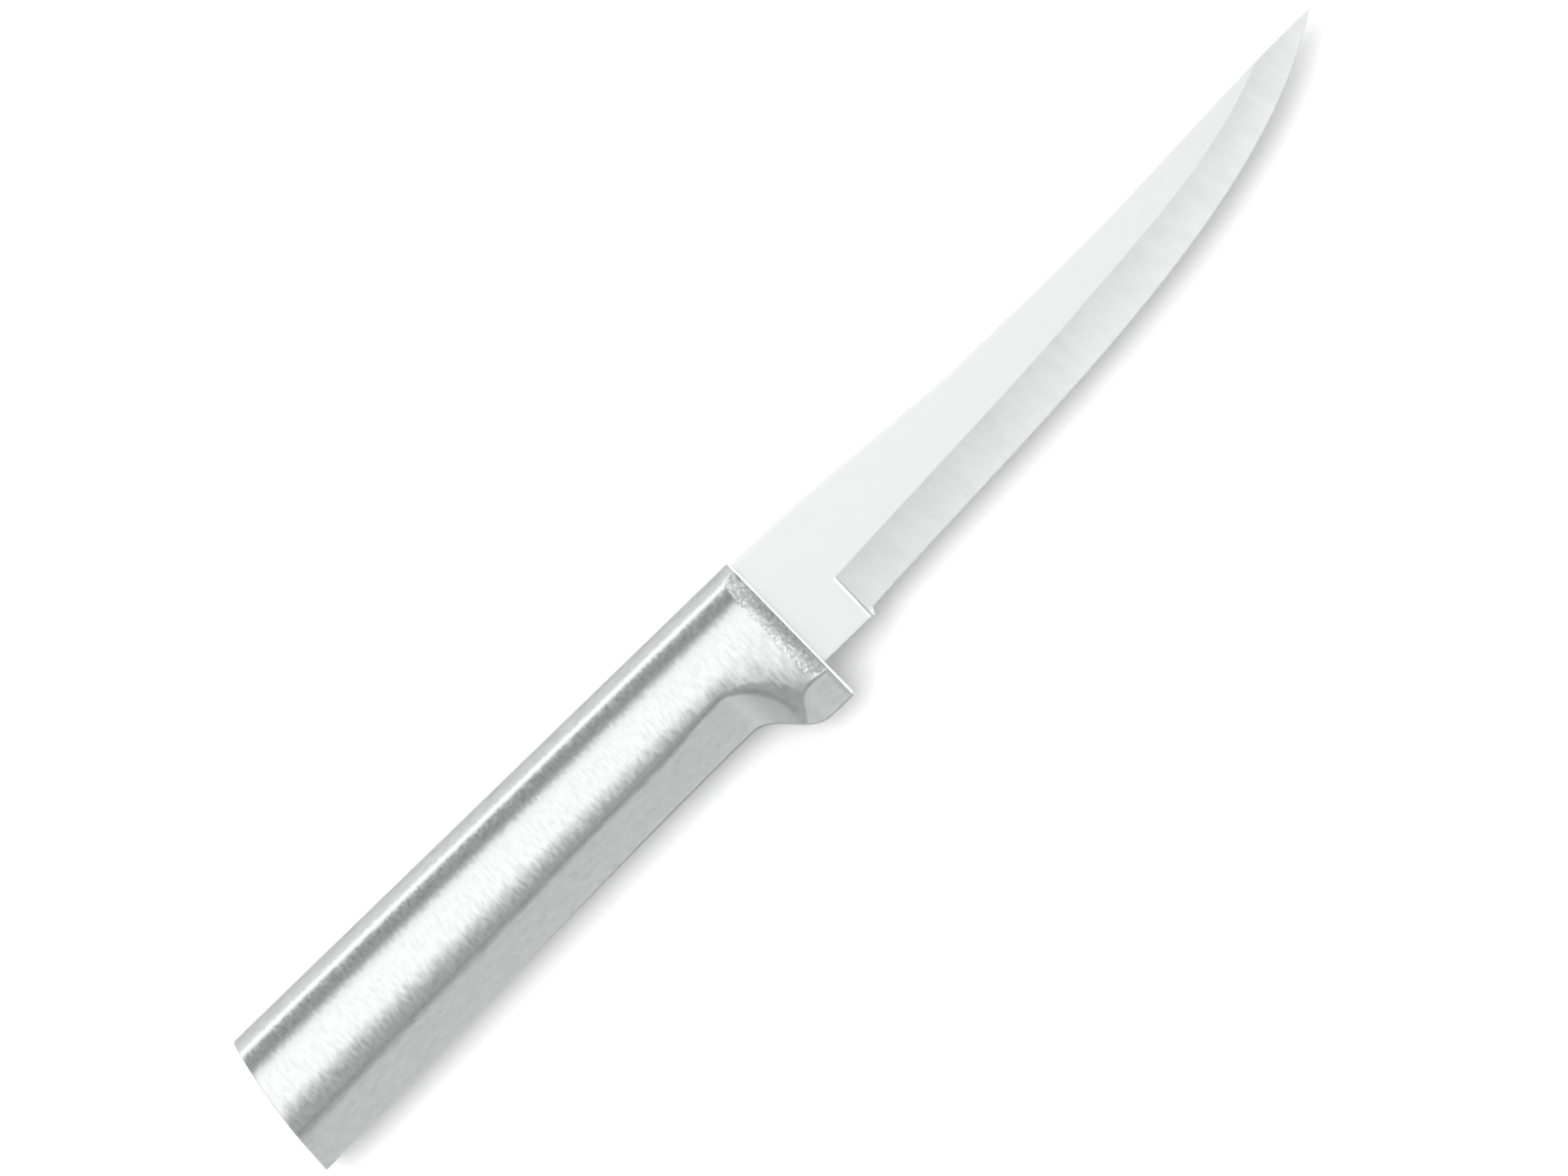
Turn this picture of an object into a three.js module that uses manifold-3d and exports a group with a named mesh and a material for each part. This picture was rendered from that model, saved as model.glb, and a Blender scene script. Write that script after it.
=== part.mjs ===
// A small paring knife: a stamped and hollow-ground steel blade whose tang is cast into a solid
// aluminium handle. Sizes are in millimetres, and the knife lies on its side: X runs to the point,
// Y to the spine and Z through the blade's thickness. Shapes are drawn from three planes: the
// handle's front face (x = 0), the handle's straight top (y = 0) and the blade's middle (z = 0).
import * as THREE from "three";
import { mergeVertices } from "three/addons/utils/BufferGeometryUtils.js";
import Module from "manifold-3d";

const wasm = await Module();
wasm.setup();

// Blade
const BLADE_LENGTH = 90.9; // front face to the point
const BLADE_THICKNESS = 1.2;
const SPINE_INSET = 0.58; // the spine's start lies this far below the handle's top
const SPINE_SWAY = 1.62; // how far the spine dips between heel and point
const SWAY_START = 5.2; // front face to where the dip begins
const SWAY_FULL = 36.4; // front face to where the dip is full
const SWAY_LEAVE = 41.5; // point to where the spine begins to rise again
const SWAY_END = 1.5; // point to where the rise ends
const SWAY_LEFT = 0.09; // share of the dip that is left at the point
const HEEL_HEIGHT = 15.1; // spine to the underside of the unground heel
const HEEL_LENGTH = 7.44; // front face to where the grind begins
const HEEL_NOTCH = 0.85; // length of the step from the heel up to the cutting edge
const EDGE_STEP = 0.67; // height of that step
const EDGE_REACH = 30; // how far the edge keeps its first direction
const EDGE_RISE = 2.06; // how much it rises over that length
const POINT_REACH = 18.2; // the same two at the point, where the edge curves up
const POINT_DROP = 12.75;

// Hollow grind, alike on both sides
const GRIND_WIDTH = 5.43; // cutting edge to the grind line, along the heel half
const GRIND_POINT_WIDTH = 4.5; // the same near the point
const GRIND_NARROWS = 42; // point to where the grind begins to narrow
const GRIND_NARROW = 13; // point to where it has narrowed
const EDGE_THICKNESS = 0.2;
const WHEEL_RADIUS = 75; // grinding wheel that makes the hollow

// Tang, inside the handle
const SHOULDER_DEPTH = 2.5; // the heel's full height enters the handle this far
const TANG_LENGTH = 56; // front face to the tang's end
const TANG_HEIGHT = 8.4;
const TANG_CENTRE = 8; // handle's top to the tang's centre line
const KEY_HOLE_DIAMETER = 4.5;
const FIRST_KEY_HOLE = 20; // front face to the first keying hole
const KEY_HOLE_SPACING = 24;
const KEY_HOLES = 2;
const TANG_GAP = 0.25; // between the tang and the casting all round

// Handle
const HANDLE_LENGTH = 78; // along the top
const BUTT_HEIGHT = 17.8;
const BUTT_SLANT = 2.56; // the underside runs this much further back than the top
const BUTT_THICKNESS = 13.4;
const FRONT_THICKNESS = 12.4;
const SIDE_FULLNESS = 2.2; // superellipse exponent of the section's upper part: 2 is an ellipse
const WIDEST = 8.6; // handle's top to the section's widest place, at the front
const BUTT_WIDEST = 9.1; // the same at the butt
const SHOULDER = 8.25; // handle's top to where the sides begin to bow in
const SHOULDER_FOLLOWS = 0.3; // how far the shoulder sinks with the underside, towards the butt
const SIDE_RADIUS = 7.5; // of that bow
const FLANK_ANGLE = 46; // degrees that the flat lower flanks lean in
const FLANK_EDGE = 0.62; // half-width that the flanks leave along the underside
const NECK_PINCH = 0.3; // the flanks cut in by this much more at the neck
const PINCH_REACH = 10; // length over which that fades on both sides of the neck
const BUTT_PINCH = 0.2; // the flanks cut in by this much more at the butt
const BUTT_PINCH_START = 40; // front face to where that begins
const BUTT_PINCH_FULL = 80; // front face to where it is full
const NECK_HEIGHT = 15.8; // the slimmest place, behind the guard
const NECK_REACH = 11.5; // front face to the neck
const NECK_EASE = 15.5; // length over which the underside levels out at the neck
const BELLY_REACH = 23.5; // how far the underside keeps its slope from the butt
const BELLY_RISE = 0.8; // how much it rises over that length
const FRONT_ROUND = 2.5; // length over which both sides round off at the front face
const FRONT_DROP = 2.2; // depth of that rounding
const ROUND_LEAD = 0.2; // share of it that deepens steadily
const ROUND_POWER = 3; // the rest deepens with this power of the way to the front face
const ROUND_TOP = 0.74; // handle's top to where the rounding begins
const ROUND_FULL = 2.4; // handle's top to where it has its full depth
const ROUND_FADES = 15.3; // handle's top to where it begins to fade, above the guard
const ROUND_FADED = 16.5; // handle's top to where it has faded

// Finger hollow and guard, part of the handle
const GUARD_HEIGHT = 20.65; // handle's top to the guard's foot
const GUARD_FOOT = 3.5; // length of the foot
const GUARD_HOLLOW = 3.5; // easing of the finger hollow at the neck
const GUARD_TURN = 3.7; // easing at the foot
const HOLLOW_START = 10.5; // front face to where the section begins to change over the hollow
const HOLLOW_FULL = 7; // front face to where it has changed
const HOLLOW_RADIUS = 23; // the sides bow in with this radius there
const HOLLOW_ANGLE = 41.5; // degrees that the flanks lean in there
const HOLLOW_EDGE = 2.3; // half-width that they leave along the underside there
const EDGE_WIDENS = 11.4; // front face to where the underside begins to widen to that
const EDGE_WIDENED = 6.4; // front face to where it has widened
const GUARD_SINK = 3.2; // the shoulder lies this much lower over the guard
const SINK_START = 6.6; // front face to where it begins to sink
const SINK_FULL = 2.8; // front face to where it has sunk
const FACET_ANGLE = 47; // degrees that the flat facet on the guard leans in
const FACET_EDGE = 1; // half-width that the facet leaves along the foot

// Faceting of the curves
const OUTLINE_STEPS = 26;
const GRIND_STEPS = 26;
const GRIND_POINTS = 7;
const CROWN_STEPS = 8;
const SIDE_STEPS = 6;
const FLANK_STEPS = 5;
const HOLLOW_STEPS = 40;
const GRIP_STEPS = 12;
const GUARD_STEPS = 16;
const ROUND_STEPS = 5;
const HOLE_SEGMENTS = 10;
const BISECTIONS = 40;
const CUT_MARGIN = 2; // how far a cutting shape reaches past the piece that it cuts

const { lerp, smoothstep, degToRad } = THREE.MathUtils;
const heelBottom = -SPINE_INSET - HEEL_HEIGHT;
const edgeStart = new THREE.Vector2(HEEL_LENGTH + HEEL_NOTCH, heelBottom + EDGE_STEP);
const point = new THREE.Vector2(BLADE_LENGTH, -SPINE_INSET - SPINE_SWAY * SWAY_LEFT);
const neck = new THREE.Vector2(-NECK_REACH, -NECK_HEIGHT);
const foot = new THREE.Vector2(-GUARD_FOOT, -GUARD_HEIGHT);
const buttCorner = new THREE.Vector2(-HANDLE_LENGTH - BUTT_SLANT, -BUTT_HEIGHT);

const cuttingEdge = new THREE.CubicBezierCurve(
  edgeStart,
  new THREE.Vector2(edgeStart.x + EDGE_REACH, edgeStart.y + EDGE_RISE),
  new THREE.Vector2(point.x - POINT_REACH, point.y - POINT_DROP),
  point,
);
const belly = new THREE.CubicBezierCurve(
  buttCorner,
  new THREE.Vector2(buttCorner.x + BELLY_REACH, buttCorner.y + BELLY_RISE),
  new THREE.Vector2(neck.x - NECK_EASE, neck.y),
  neck,
);
const fingerHollow = new THREE.CubicBezierCurve(
  neck,
  new THREE.Vector2(neck.x + GUARD_HOLLOW, neck.y),
  new THREE.Vector2(foot.x - GUARD_TURN, foot.y),
  foot,
);
const hollowLine = fingerHollow.getPoints(HOLLOW_STEPS);

// The value between first and last up to which a test holds.
function boundary(first, last, holds) {
  let [low, high] = [first, last];
  for (let step = 0; step < BISECTIONS; step += 1) {
    const middle = (low + high) / 2;
    if (holds(middle)) {
      low = middle;
    } else {
      high = middle;
    }
  }
  return high;
}

// Height of a curve that runs steadily along X, at x. Past its ends it keeps the end's height.
function heightAt(curve, x) {
  return curve.getPoint(boundary(0, 1, (t) => curve.getPoint(t).x < x)).y;
}

// Evenly spread values from first to last, both included.
function spread(first, last, steps) {
  return Array.from({ length: steps + 1 }, (_, i) => lerp(first, last, i / steps));
}

// The spine dips between the heel and the point, and rises again towards the point.
function spineAt(x) {
  const dip = smoothstep(x, SWAY_START, SWAY_FULL);
  const rise = smoothstep(x, BLADE_LENGTH - SWAY_LEAVE, BLADE_LENGTH - SWAY_END);
  return -SPINE_INSET - SPINE_SWAY * dip * lerp(1, SWAY_LEFT, rise);
}

function grindWidthAt(x) {
  const narrowing = smoothstep(x, BLADE_LENGTH - GRIND_NARROWS, BLADE_LENGTH - GRIND_NARROW);
  return lerp(GRIND_WIDTH, GRIND_POINT_WIDTH, narrowing);
}

function undersideAt(x) {
  return x < neck.x ? heightAt(belly, x) : heightAt(fingerHollow, x);
}

// How far a point of the handle lies from the underside's line: the height above it, or the distance
// to the nearest point along the finger hollow where that is less.
function undersideDistance(x, y) {
  const away = hollowLine.map((p) => Math.hypot(x - p.x, y - p.y));
  return Math.min(y - undersideAt(x), ...away);
}

// Half-width of the handle's side at a height, where out is its share of the full width. It bows in
// below the shoulder, and is rounded off to the front face between the top and the guard.
function sideHalf(x, y, out) {
  const taper = lerp(FRONT_THICKNESS, BUTT_THICKNESS, x / buttCorner.x) / 2;
  const way = Math.max(0, 1 + x / FRONT_ROUND);
  const round = FRONT_DROP * lerp(way ** ROUND_POWER, way, ROUND_LEAD);
  const begun = smoothstep(-y, ROUND_TOP, ROUND_FULL);
  const faded = smoothstep(-y, ROUND_FADES, ROUND_FADED);
  const radius = lerp(SIDE_RADIUS, HOLLOW_RADIUS, smoothstep(x, -HOLLOW_START, -HOLLOW_FULL));
  const grip = SHOULDER_FOLLOWS * (undersideAt(Math.min(x, neck.x)) - neck.y);
  const sunk = GUARD_SINK * smoothstep(x, -SINK_START, -SINK_FULL);
  const below = Math.max(0, grip - sunk - SHOULDER - y);
  return (taper - round * begun * (1 - faded)) * out - below ** 2 / (2 * radius);
}

// Half-width of the flank at a height. It leans in evenly to the underside's line, and a flat facet is
// taken off it at the guard.
function flankHalf(x, y) {
  const nearNeck = 1 - smoothstep(Math.abs(x - neck.x), 0, PINCH_REACH);
  const nearButt = smoothstep(-x, BUTT_PINCH_START, BUTT_PINCH_FULL);
  const narrow = FLANK_EDGE - NECK_PINCH * nearNeck - BUTT_PINCH * nearButt;
  const edge = lerp(narrow, HOLLOW_EDGE, smoothstep(x, -EDGE_WIDENS, -EDGE_WIDENED));
  const angle = lerp(FLANK_ANGLE, HOLLOW_ANGLE, smoothstep(x, -HOLLOW_START, -HOLLOW_FULL));
  const flank = edge + Math.tan(degToRad(angle)) * undersideDistance(x, y);
  const facet = FACET_EDGE + Math.tan(degToRad(FACET_ANGLE)) * (y - foot.y);
  return Math.min(flank, facet);
}

// A closed solid through rings of points that turn from +Y to +Z and follow each other along +X.
function loft(rings) {
  const count = rings[0].length;
  const middles = [rings[0], rings[rings.length - 1]].map((ring) =>
    ring.reduce((sum, p) => sum.add(p), new THREE.Vector3()).divideScalar(count),
  );
  const points = [...rings.flat(), ...middles];
  const triangles = [];
  const firstMiddle = rings.length * count;
  for (let k = 0; k < count; k += 1) {
    const next = (k + 1) % count;
    const last = (rings.length - 1) * count;
    triangles.push(firstMiddle, next, k);
    triangles.push(firstMiddle + 1, last + k, last + next);
    for (let base = 0; base < last; base += count) {
      triangles.push(base + k, base + next, base + count + next);
      triangles.push(base + k, base + count + next, base + count + k);
    }
  }
  return new THREE.BufferGeometry().setFromPoints(points).setIndex(triangles);
}

function solid(geometry) {
  const bare = geometry.clone();
  bare.deleteAttribute("normal");
  bare.deleteAttribute("uv");
  const merged = mergeVertices(bare);
  return new wasm.Manifold(
    new wasm.Mesh({
      numProp: 3,
      vertProperties: new Float32Array(merged.attributes.position.array),
      triVerts: new Uint32Array(merged.index.array),
    }),
  );
}

function mesh(name, shape, material) {
  const { vertProperties, triVerts } = shape.getMesh();
  const geometry = new THREE.BufferGeometry()
    .setAttribute("position", new THREE.BufferAttribute(vertProperties, 3))
    .setIndex(new THREE.BufferAttribute(triVerts, 1))
    .toNonIndexed();
  geometry.computeVertexNormals();
  const made = new THREE.Mesh(geometry, material);
  made.name = name;
  return made;
}

// A flat plate cut to a shape, centred on the blade's middle plane.
function plate(shape, thickness) {
  const options = { depth: thickness, bevelEnabled: false, curveSegments: HOLE_SEGMENTS };
  return solid(new THREE.ExtrudeGeometry(shape, options).translate(0, 0, -thickness / 2));
}

// Continues an outline from the heel's underside round the tang to the spine, grown by gap, with
// the keying holes narrowed by the same gap.
function drawTang(shape, gap) {
  const shoulder = -SHOULDER_DEPTH - gap;
  const halfHeight = TANG_HEIGHT / 2 + gap;
  const endCentre = -TANG_LENGTH + TANG_HEIGHT / 2;
  shape.lineTo(shoulder, heelBottom - gap);
  shape.lineTo(shoulder, -TANG_CENTRE - halfHeight);
  shape.lineTo(endCentre, -TANG_CENTRE - halfHeight);
  shape.absarc(endCentre, -TANG_CENTRE, halfHeight, -Math.PI / 2, Math.PI / 2, true);
  shape.lineTo(shoulder, -TANG_CENTRE + halfHeight);
  shape.lineTo(shoulder, -SPINE_INSET + gap);
  for (let i = 0; i < KEY_HOLES; i += 1) {
    const hole = new THREE.Path();
    const x = -FIRST_KEY_HOLE - i * KEY_HOLE_SPACING;
    hole.absarc(x, -TANG_CENTRE, KEY_HOLE_DIAMETER / 2 - gap, 0, 2 * Math.PI, false);
    shape.holes.push(hole);
  }
}

// The stamped blank: spine, point, cutting edge, heel and tang in one flat outline.
function bladeBlank() {
  const outline = new THREE.Shape();
  outline.moveTo(0, -SPINE_INSET);
  for (const x of spread(0, BLADE_LENGTH, OUTLINE_STEPS).slice(1, -1)) {
    outline.lineTo(x, spineAt(x));
  }
  for (const p of cuttingEdge.getPoints(OUTLINE_STEPS).reverse()) {
    outline.lineTo(p.x, p.y);
  }
  outline.lineTo(HEEL_LENGTH, heelBottom);
  drawTang(outline, 0);
  return plate(outline, BLADE_THICKNESS);
}

// What the wheel takes off one side: everything outside a hollow that runs from the cutting edge's
// half-thickness to the blade's, bowed in by the wheel's curve. side is 1 for the upper face.
function grindCut(side) {
  const half = BLADE_THICKNESS / 2;
  const edgeHalf = EDGE_THICKNESS / 2;
  const top = half + CUT_MARGIN;
  const rings = spread(HEEL_LENGTH, BLADE_LENGTH + CUT_MARGIN, GRIND_STEPS).map((x) => {
    const edge = heightAt(cuttingEdge, x);
    const width = grindWidthAt(x);
    const low = edge - CUT_MARGIN;
    const high = edge + width + CUT_MARGIN;
    const hollow = spread(low, high, GRIND_POINTS).map((y) => {
      const up = y - edge;
      const bow = (up * (width - up)) / (2 * WHEEL_RADIUS);
      const z = edgeHalf + ((half - edgeHalf) * up) / width - bow;
      return new THREE.Vector3(x, y, side * z);
    });
    hollow.push(new THREE.Vector3(x, high, side * top), new THREE.Vector3(x, low, side * top));
    return side > 0 ? hollow : hollow.reverse();
  });
  return solid(loft(rings));
}

function bladeSolid() {
  return bladeBlank().subtract(grindCut(1)).subtract(grindCut(-1));
}

// One section of the handle, alike on both sides: a superellipse from the top to the widest place, the
// side down to the line where it turns into the flank, and the flank down to the underside.
function handleSection(x) {
  const widest = lerp(WIDEST, BUTT_WIDEST, -x / HANDLE_LENGTH);
  const underside = undersideAt(x);
  const turnLine = boundary(underside, -widest, (y) => flankHalf(x, y) < sideHalf(x, y, 1));
  const crown = spread(0, Math.PI / 2, CROWN_STEPS).map((turn) => {
    const y = widest * (Math.cos(turn) ** (2 / SIDE_FULLNESS) - 1);
    return [y, sideHalf(x, y, Math.sin(turn) ** (2 / SIDE_FULLNESS))];
  });
  const side = spread(-widest, turnLine, SIDE_STEPS).map((y) => [y, sideHalf(x, y, 1)]);
  const flank = spread(turnLine, underside, FLANK_STEPS).map((y) => [y, flankHalf(x, y)]);
  const half = [...crown.slice(1), ...side.slice(1), ...flank.slice(1)];
  return [
    new THREE.Vector3(x, 0, 0),
    ...half.map(([y, z]) => new THREE.Vector3(x, y, z)),
    ...half.reverse().map(([y, z]) => new THREE.Vector3(x, y, -z)),
  ];
}

// Everything behind the slanted butt.
function buttCut() {
  const size = 2 * (BUTT_HEIGHT + BUTT_THICKNESS);
  const block = new THREE.BoxGeometry(size, size, size).translate(-size / 2, 0, 0);
  block.rotateZ(-Math.atan2(BUTT_SLANT, BUTT_HEIGHT));
  return solid(block.translate(-HANDLE_LENGTH, 0, 0));
}

// The space that the tang fills, open at the front face. The posts that key the tang stay standing.
function tangPocket() {
  const outline = new THREE.Shape();
  outline.moveTo(CUT_MARGIN, -SPINE_INSET + TANG_GAP);
  outline.lineTo(CUT_MARGIN, heelBottom - TANG_GAP);
  drawTang(outline, TANG_GAP);
  return plate(outline, BLADE_THICKNESS + 2 * TANG_GAP);
}

function handleSolid() {
  const stations = [
    ...spread(buttCorner.x - CUT_MARGIN, neck.x, GRIP_STEPS).slice(0, -1),
    ...spread(neck.x, -FRONT_ROUND, GUARD_STEPS).slice(0, -1),
    ...spread(-FRONT_ROUND, 0, ROUND_STEPS),
  ];
  return solid(loft(stations.map(handleSection))).subtract(buttCut()).subtract(tangPocket());
}

const groundSteel = new THREE.MeshStandardMaterial({
  color: 0xd8dbda,
  roughness: 0.28,
  metalness: 1,
});
const brushedAluminium = new THREE.MeshStandardMaterial({
  color: 0xc8cac9,
  roughness: 0.35,
  metalness: 1,
});

const knife = new THREE.Group();
knife.add(mesh("blade", bladeSolid(), groundSteel));
knife.add(mesh("handle", handleSolid(), brushedAluminium));

// The part's origin is the middle of the knife's footprint, on the surface that it lies on.
const box = new THREE.Box3().setFromObject(knife);
const middle = box.getCenter(new THREE.Vector3());
knife.position.set(-middle.x, -middle.y, -box.min.z);

const paringKnife = new THREE.Group();
paringKnife.add(knife);

export default paringKnife;
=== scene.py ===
"""A small paring knife: the hollow-ground blade, the cast and brushed handle, and a plain stage.

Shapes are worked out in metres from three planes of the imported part: x from the handle's front face
towards the point, y from the handle's straight top towards the spine, and z from the blade's middle.
"""
import math

import bpy
import numpy as np
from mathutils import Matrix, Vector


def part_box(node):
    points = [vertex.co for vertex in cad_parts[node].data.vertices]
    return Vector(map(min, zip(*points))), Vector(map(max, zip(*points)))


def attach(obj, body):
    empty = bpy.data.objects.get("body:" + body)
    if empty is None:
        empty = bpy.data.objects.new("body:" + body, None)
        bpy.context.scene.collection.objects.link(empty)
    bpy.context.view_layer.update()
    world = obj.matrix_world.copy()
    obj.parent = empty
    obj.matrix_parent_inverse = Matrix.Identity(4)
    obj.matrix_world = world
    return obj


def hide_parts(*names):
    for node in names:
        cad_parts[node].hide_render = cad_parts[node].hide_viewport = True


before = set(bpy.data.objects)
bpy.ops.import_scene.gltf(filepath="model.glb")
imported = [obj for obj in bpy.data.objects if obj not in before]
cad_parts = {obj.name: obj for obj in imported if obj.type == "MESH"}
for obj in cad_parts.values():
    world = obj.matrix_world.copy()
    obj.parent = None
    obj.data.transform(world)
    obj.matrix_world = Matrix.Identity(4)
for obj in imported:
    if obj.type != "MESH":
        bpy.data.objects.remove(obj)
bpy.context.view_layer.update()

bl_info = {
    "name": "Paring knife",
    "version": (1, 0, 0),
    "blender": (4, 5, 0),
    "location": "3D View > Sidebar > Knife",
    "description": "A paring knife's ground blade and cast handle, with a plain stage",
    "category": "Object",
}

MM = 0.001
BODY = "root"

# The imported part's box and the planes that the shapes are worked out from.
BLADE_LOW, BLADE_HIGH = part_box("blade")
_, HANDLE_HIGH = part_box("handle")
ORIGIN = np.array([HANDLE_HIGH.x, HANDLE_HIGH.y, (BLADE_LOW.z + BLADE_HIGH.z) / 2])

# Blade
SWAY_START = 5.2 * MM  # front face to where the spine's dip begins
SWAY_FULL = 36.4 * MM  # front face to where it is full
SWAY_LEAVE = 41.5 * MM  # point to where the spine begins to rise again
SWAY_END = 1.5 * MM  # point to where the rise ends
SWAY_LEFT = 0.09  # share of the dip that is left at the point
HEEL_SPUR = 0.25 * MM  # the wheel's edge leaves a small spur below the heel
SPUR_BACK = 0.1 * MM  # the spur's start, peak and end, along the blade from the heel's corner
SPUR_PEAK = 0.38 * MM
SPUR_END = 0.85 * MM
EDGE_STEP = 0.67 * MM  # height from the heel's underside up to the cutting edge
EDGE_REACH = 30 * MM  # how far the cutting edge keeps its first direction
EDGE_RISE = 2.06 * MM  # and how far it rises over that length
POINT_REACH = 18.2 * MM  # the same at the point, where the edge curves up
POINT_DROP = 12.75 * MM  # and how far it climbs over that length
GRIND_NARROWS = 42 * MM  # point to where the grind begins to narrow
GRIND_NARROW = 13 * MM  # and to where it has narrowed
PLUNGE_LEAD = 0.32 * MM  # where the wheel went in, this far before the heel's corner
LIP_WIDTH = 0.4 * MM  # it burnished a narrow rolled lip there
LIP_SHARE = 0.1  # of the grind's depth
FILLET_WIDTH = 0.06 * MM  # the rest of the depth
TAPER_START = 12 * MM  # front face to where the blade begins to thin towards the point
STUB = 2.5 * MM  # length of blade that enters the handle
CORNER_ROUND = 0.03 * MM  # broken corners along the spine
EDGE_ROUND = 0.03 * MM  # and along the cutting edge
FLAT_LEAST = 0.02 * MM  # height of the flat that is left where the grind line meets the spine
LEAST_PARTS = 8  # each of these three takes at most one part in so many of the blade's height
POINT_SHORT = 0.02 * MM  # the last section stands this far before the point

# Handle
SIDE_FULLNESS = 2.2  # superellipse exponent of the section's upper part: 2 is an ellipse
WIDEST = 8.6 * MM  # top to the section's widest place, at the front
BUTT_WIDEST = 9.1 * MM  # and at the butt
SHOULDER = 8.25 * MM  # top to where the side begins to bow in
SHOULDER_FOLLOWS = 0.3  # how far the shoulder sinks with the underside, towards the butt
SIDE_RADIUS = 7.5 * MM  # of that bow
HOLLOW_RADIUS = 23 * MM  # the same over the finger hollow and the guard
HOLLOW_START = 10.5 * MM, 7 * MM  # front face to where that begins and is full
GUARD_SINK = 3.2 * MM  # the shoulder lies lower over the guard
GUARD_SINKS = 6.6 * MM, 2.8 * MM  # front face to where that begins and is full
FLANK_EDGE = 0.62 * MM  # half-width that the flanks leave along the underside
HOLLOW_EDGE = 2.3 * MM  # the same in the finger hollow
EDGE_GROWS = 11.4 * MM, 6.4 * MM  # front face to where it begins to grow to that and has grown
FOOT_EDGE = 1.0 * MM  # and under the facet ground on the guard
BUTT_PINCH = 0.2 * MM  # the flanks cut in by this much more at the butt
BUTT_PINCHES = 40 * MM, 80 * MM  # front face to where that begins and is full
NECK_PINCH = 0.3 * MM  # and by this much more at the neck
PINCH_REACH = 10 * MM  # neck to where that ends
FLANK_BLEND = 0.5 * MM  # softness of the turn from side to flank
NECK_BLEND = 0.3 * MM  # the same at the neck
HOLLOW_BLEND = 0.5 * MM  # how much softer the turn is in the finger hollow
GUARD_BLEND = 0.15 * MM  # softness of the turn at the guard
GUARD_START = 6.2 * MM, 4.2 * MM  # front face to where that begins and is full
PARTING_DRAFT = 0.2 * MM  # height of a steep face from the flanks down to the mould's parting line
BUTT_DRAFT = 0.03 * MM  # the same at the butt
DRAFT_GROWS = 60 * MM, 25 * MM  # front face to where it begins to grow from that and has grown
PARTING_FLAT = 0.04  # share of the steep face that the parting line takes
ROUND_LEAD = 0.2  # share of the front's rounding that deepens steadily
ROUND_POWER = 3.0  # the rest deepens with this power of the way to the front face
ROUND_FULL = 2.4 * MM  # top to where that rounding has its full depth
CROWN_LINE = 1.1 * MM  # the top is finished lengthwise down to here
CROWN_FADE = 0.2 * MM  # half of the height over which that ends
NECK_REACH = 11.5 * MM  # front face to the slimmest place, behind the guard
NECK_LEVEL = 4 * MM  # length behind the neck where the underside is nearly level
NECK_EASE = 15.5 * MM  # length over which the underside levels out there
BELLY_REACH = 23.5 * MM  # how far the underside keeps its slope from the butt
BELLY_RISE = 0.8 * MM  # and how far it rises over that length
GUARD_FOOT = 3.5 * MM  # length of the guard's foot
GUARD_HOLLOW = 3.5 * MM  # easing of the finger hollow at the neck and at the foot
GUARD_TURN = 3.7 * MM
RIM_WIDTH = 0.28 * MM  # narrow flat land in front of the rounding, where the mould closed on the blade
RIM_HALF = 0.95 * MM  # half of the land's thickness
RIM_STEP = 0.005 * MM  # length of the step down to it
RIM_ROUND = 0.06 * MM  # rounding of its front edge
BUTT_ROUND = 0.12 * MM  # rounding of the butt's edge
BUTT_CLEAR = 0.02 * MM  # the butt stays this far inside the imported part
SHEAR_ENDS = 40 * MM  # the sections lean with the butt, and stand square from here on
SKIN_CORNER = 2.96 * MM  # height of the quarter ellipse at the unbrushed band's upper corner
SKIN_TOP = 0.74 * MM  # top to the band's upper end
SKIN_BOTTOM = 15.9 * MM  # and to its lower end
SKIN_FADE = 0.6 * MM  # half of the height over which it ends there
SKIN_STEP = 0.08 * MM  # brushing took this much off beside the band
SKIN_EDGE = 0.09  # width of that step, as a share of the band's
HOLLOW_PAINTED_SHADE = 0.3  # how far painted shade darkens the flank's colour in the finger hollow
PAINTED_SHADE_PLACE = 8 * MM  # front face to where that painted shade is darkest
PAINTED_SHADE_REACH = 2.4 * MM  # from there to where that ends

# Finish of the blade. Real scratches, brush strokes and grain are 0.04 to 0.09 mm wide, which is too
# fine to show, so they are drawn this many times as wide.
COARSER = 10
SCRATCH_WIDTH = COARSER * 0.04 * MM
CLOUD_WIDTH = 1.6 * MM
CLOUD_LENGTH = 4 * MM
SATIN = {
    "turn": 0,
    "length": 2.5 * MM,
    "contrast": 0.025,
    "cloud": 0.01,
    "depth": 0.0002 * MM,
    "roughness": 0.3,
    "uneven": 0.01,
    "tangent_turn": 0.25,
}
WHEEL_GROUND = {
    "turn": math.radians(102),
    "length": 2 * MM,
    "contrast": 0.08,
    "cloud": 0.06,
    "depth": 0.003 * MM,
    "roughness": 0.28,
    "uneven": 0.04,
    "tangent_turn": 0,
}
BURNISHED = {
    "turn": math.radians(90),
    "length": 2 * MM,
    "contrast": 0.02,
    "cloud": 0.01,
    "depth": 0.001 * MM,
    "roughness": 0.14,
    "uneven": 0.02,
    "tangent_turn": 0,
}
FLAT_SLOT, GRIND_SLOT, LIP_SLOT = range(3)  # places of these three in the blade's list of materials

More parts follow.
